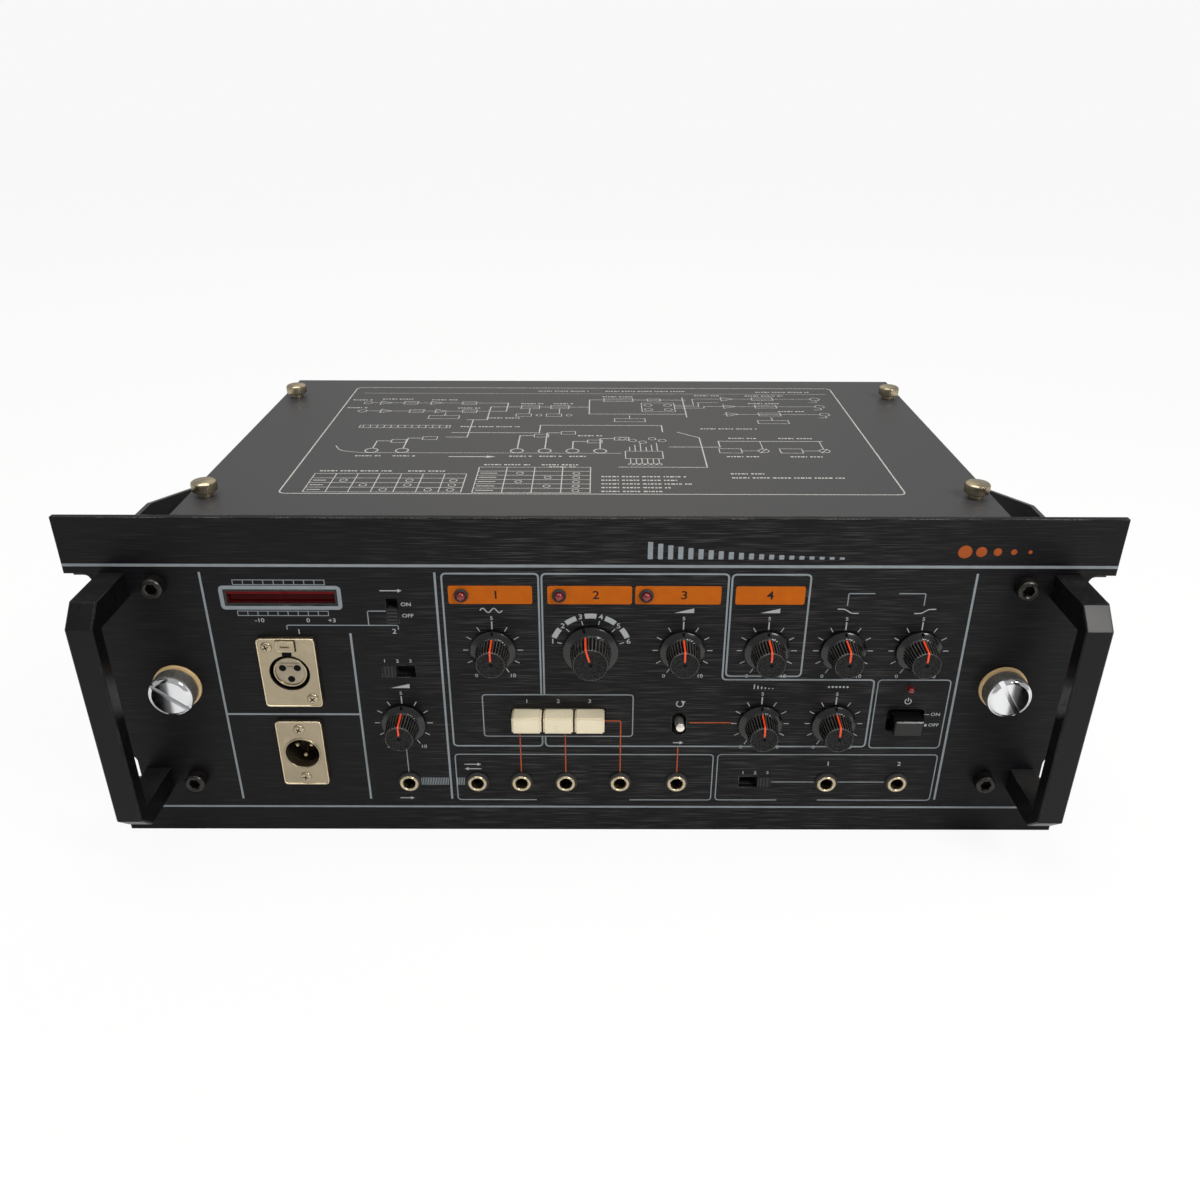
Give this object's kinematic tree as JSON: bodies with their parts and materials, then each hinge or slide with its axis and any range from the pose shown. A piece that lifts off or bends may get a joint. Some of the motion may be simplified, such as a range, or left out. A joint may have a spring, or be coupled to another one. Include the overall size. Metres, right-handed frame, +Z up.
{
  "type": "rack-mount tape echo unit",
  "caption": "Rack-mount tape echo unit with rotary controls, push buttons, sockets, carrying handles and a lift-off cover over its tape transport.",
  "frame": {"origin": "middle of the front panel's lower front edge, on its bottom face", "axes": "+X right and +Y back as seen from the front, +Z up"},
  "size_m": [0.4826, 0.2868, 0.1801],
  "materials": {
    "panel_black": "brushed and black anodised",
    "handle_black": "satin black, worn at the edges",
    "screw_black": "black oxide with a knurled side",
    "bright_chrome": "polished, knurled at the rim",
    "nickel": "nickel plated",
    "cream_washer": "aged nylon",
    "bracket_steel": "black paint",
    "case_paint": "satin dark grey paint",
    "zinc_steel": "zinc plated sheet",
    "red_filter": "dark red filter",
    "red_lamp": "red lamp, unlit",
    "black_plastic": "moulded black",
    "knob_black": "black, stippled crown",
    "cream_plastic": "aged ivory",
    "board_green": "laminate",
    "tape_brown": "oxide coated film",
    "head_metal": "polished face",
    "motor_grey": "grey",
    "core_steel": "varnished laminations",
    "rubber": "ground rubber",
    "steel": "ground steel"
  },
  "bodies": {
    "unit": {"front_panel": "panel_black", "handle_left": "handle_black", "handle_right": "handle_black", "panel_screws": "screw_black", "thumbscrew_washers": "cream_washer", "rack_bracket_left": "bracket_steel", "rack_bracket_right": "bracket_steel", "chassis_tray": "case_paint", "rear_panel": "case_paint", "mains_gland": "black_plastic", "level_meter": "red_filter", "circuit_boards": "board_green", "slide_switches": "black_plastic", "input_connector_shell": "nickel", "input_connector_insert": "nickel", "output_connector_shell": "nickel", "output_connector_pins": "nickel", "connector_screws": "nickel", "rotary_controls": "zinc_steel", "indicator_lamps": "red_lamp", "lamp_holders": "black_plastic", "push_switches": "black_plastic", "toggle_switch": "black_plastic", "jack_bodies": "black_plastic", "jack_ferrules": "nickel", "transport_deck": "zinc_steel", "tape_loop": "tape_brown", "tape_heads": "head_metal", "drive_motor": "motor_grey", "power_transformer": "core_steel", "reverb_tank": "zinc_steel"},
    "knob_input_volume": {"knob_input_volume": "knob_black"},
    "knob_depth": {"knob_depth": "knob_black"},
    "knob_mode": {"knob_mode": "knob_black"},
    "knob_echo_volume": {"knob_echo_volume": "knob_black"},
    "knob_reverb_volume": {"knob_reverb_volume": "knob_black"},
    "knob_bass": {"knob_bass": "knob_black"},
    "knob_treble": {"knob_treble": "knob_black"},
    "knob_intensity": {"knob_intensity": "knob_black"},
    "knob_repeat_rate": {"knob_repeat_rate": "knob_black"},
    "direct_slider": {"direct_slider": "black_plastic"},
    "input_level_slider": {"input_level_slider": "black_plastic"},
    "output_level_slider": {"output_level_slider": "black_plastic"},
    "effect_button_1": {"effect_button_1": "cream_plastic"},
    "effect_button_2": {"effect_button_2": "cream_plastic"},
    "effect_button_3": {"effect_button_3": "cream_plastic"},
    "power_button": {"power_button": "black_plastic"},
    "toggle_lever": {"toggle_lever": "nickel"},
    "input_connector_latch": {"input_connector_latch": "nickel"},
    "panel_thumbscrew_left": {"panel_thumbscrew_left": "bright_chrome"},
    "panel_thumbscrew_right": {"panel_thumbscrew_right": "bright_chrome"},
    "cover": {"top_cover": "case_paint"},
    "capstan": {"capstan": "steel"},
    "pinch_roller": {"pinch_roller": "rubber"},
    "pinch_arm": {"pinch_arm": "zinc_steel"},
    "cover_thumbscrew_front_left": {"cover_thumbscrew_front_left": "nickel"},
    "cover_thumbscrew_front_right": {"cover_thumbscrew_front_right": "nickel"},
    "cover_thumbscrew_rear_left": {"cover_thumbscrew_rear_left": "nickel"},
    "cover_thumbscrew_rear_right": {"cover_thumbscrew_rear_right": "nickel"}
  },
  "joints": [
    {"name": "knob_input_volume_turn", "type": "hinge", "parent": "unit", "child": "knob_input_volume", "pos_m": [-0.0926, 0, 0.0672], "axis": [0, 1, 0], "range_deg": [-150, 150]},
    {"name": "knob_depth_turn", "type": "hinge", "parent": "unit", "child": "knob_depth", "pos_m": [-0.0465, 0, 0.109], "axis": [0, 1, 0], "range_deg": [-150, 150]},
    {"name": "knob_mode_turn", "type": "hinge", "parent": "unit", "child": "knob_mode", "pos_m": [0, 0, 0.109], "axis": [0, 1, 0], "range_deg": [-60, 90]},
    {"name": "knob_echo_volume_turn", "type": "hinge", "parent": "unit", "child": "knob_echo_volume", "pos_m": [0.0438, 0, 0.109], "axis": [0, 1, 0], "range_deg": [-150, 150]},
    {"name": "knob_reverb_volume_turn", "type": "hinge", "parent": "unit", "child": "knob_reverb_volume", "pos_m": [0.084, 0, 0.109], "axis": [0, 1, 0], "range_deg": [-150, 150]},
    {"name": "knob_bass_turn", "type": "hinge", "parent": "unit", "child": "knob_bass", "pos_m": [0.1204, 0, 0.109], "axis": [0, 1, 0], "range_deg": [-150, 150]},
    {"name": "knob_treble_turn", "type": "hinge", "parent": "unit", "child": "knob_treble", "pos_m": [0.1564, 0, 0.109], "axis": [0, 1, 0], "range_deg": [-150, 150]},
    {"name": "knob_intensity_turn", "type": "hinge", "parent": "unit", "child": "knob_intensity", "pos_m": [0.084, 0, 0.0672], "axis": [0, 1, 0], "range_deg": [-150, 150]},
    {"name": "knob_repeat_rate_turn", "type": "hinge", "parent": "unit", "child": "knob_repeat_rate", "pos_m": [0.1204, 0, 0.0672], "axis": [0, 1, 0], "range_deg": [-150, 150]},
    {"name": "direct_switch_slide", "type": "slide", "parent": "unit", "child": "direct_slider", "axis": [0, 0, 1], "range_m": [0, 0.0052]},
    {"name": "input_level_slide", "type": "slide", "parent": "unit", "child": "input_level_slider", "axis": [1, 0, 0], "range_m": [0, 0.0092]},
    {"name": "output_level_slide", "type": "slide", "parent": "unit", "child": "output_level_slider", "axis": [-1, 0, 0], "range_m": [0, 0.0092]},
    {"name": "effect_button_1_press", "type": "slide", "parent": "unit", "child": "effect_button_1", "axis": [0, 1, 0], "range_m": [0, 0.004], "stiffness_N_per_m": 250},
    {"name": "effect_button_2_press", "type": "slide", "parent": "unit", "child": "effect_button_2", "axis": [0, 1, 0], "range_m": [0, 0.004], "stiffness_N_per_m": 250},
    {"name": "effect_button_3_press", "type": "slide", "parent": "unit", "child": "effect_button_3", "axis": [0, 1, 0], "range_m": [0, 0.004], "stiffness_N_per_m": 250},
    {"name": "power_button_press", "type": "slide", "parent": "unit", "child": "power_button", "axis": [0, 1, 0], "range_m": [0, 0.005], "stiffness_N_per_m": 250},
    {"name": "toggle_tilt", "type": "hinge", "parent": "unit", "child": "toggle_lever", "pos_m": [0.0438, 0.006, 0.0667], "axis": [1, 0, 0], "range_deg": [0, 24]},
    {"name": "input_latch_press", "type": "slide", "parent": "unit", "child": "input_connector_latch", "axis": [0, 1, 0], "range_m": [0, 0.0015], "stiffness_N_per_m": 400},
    {"name": "panel_thumbscrew_left_turn", "type": "hinge", "parent": "unit", "child": "panel_thumbscrew_left", "pos_m": [-0.2004, 0, 0.0885], "axis": [0, 1, 0], "continuous": true},
    {"name": "panel_thumbscrew_right_turn", "type": "hinge", "parent": "unit", "child": "panel_thumbscrew_right", "pos_m": [0.2004, 0, 0.0885], "axis": [0, 1, 0], "continuous": true},
    {"name": "cover_lift", "type": "slide", "parent": "unit", "child": "cover", "axis": [0, 0, 1], "range_m": [0, 0.06]},
    {"name": "cover_thumbscrew_front_left_turn", "type": "hinge", "parent": "cover", "child": "cover_thumbscrew_front_left", "pos_m": [-0.1856, 0.039, 0.172], "axis": [0, 0, 1], "continuous": true},
    {"name": "cover_thumbscrew_front_right_turn", "type": "hinge", "parent": "cover", "child": "cover_thumbscrew_front_right", "pos_m": [0.1856, 0.039, 0.172], "axis": [0, 0, 1], "continuous": true},
    {"name": "cover_thumbscrew_rear_left_turn", "type": "hinge", "parent": "cover", "child": "cover_thumbscrew_rear_left", "pos_m": [-0.1856, 0.207, 0.172], "axis": [0, 0, 1], "continuous": true},
    {"name": "cover_thumbscrew_rear_right_turn", "type": "hinge", "parent": "cover", "child": "cover_thumbscrew_rear_right", "pos_m": [0.1856, 0.207, 0.172], "axis": [0, 0, 1], "continuous": true},
    {"name": "capstan_turn", "type": "hinge", "parent": "unit", "child": "capstan", "pos_m": [0.072, 0.07855, 0.1215], "axis": [0, 0, 1], "continuous": true},
    {"name": "pinch_arm_release", "type": "hinge", "parent": "unit", "child": "pinch_arm", "pos_m": [0.04, 0.104, 0.123], "axis": [0, 0, 1], "range_deg": [0, 12]},
    {"name": "pinch_roller_turn", "type": "hinge", "parent": "pinch_arm", "child": "pinch_roller", "pos_m": [0.072, 0.09145, 0.123], "axis": [0, 0, 1], "continuous": true}
  ],
  "couplings": [
    {"joint": "pinch_roller_turn", "follows": "capstan_turn", "ratio": -0.33333}
  ]
}
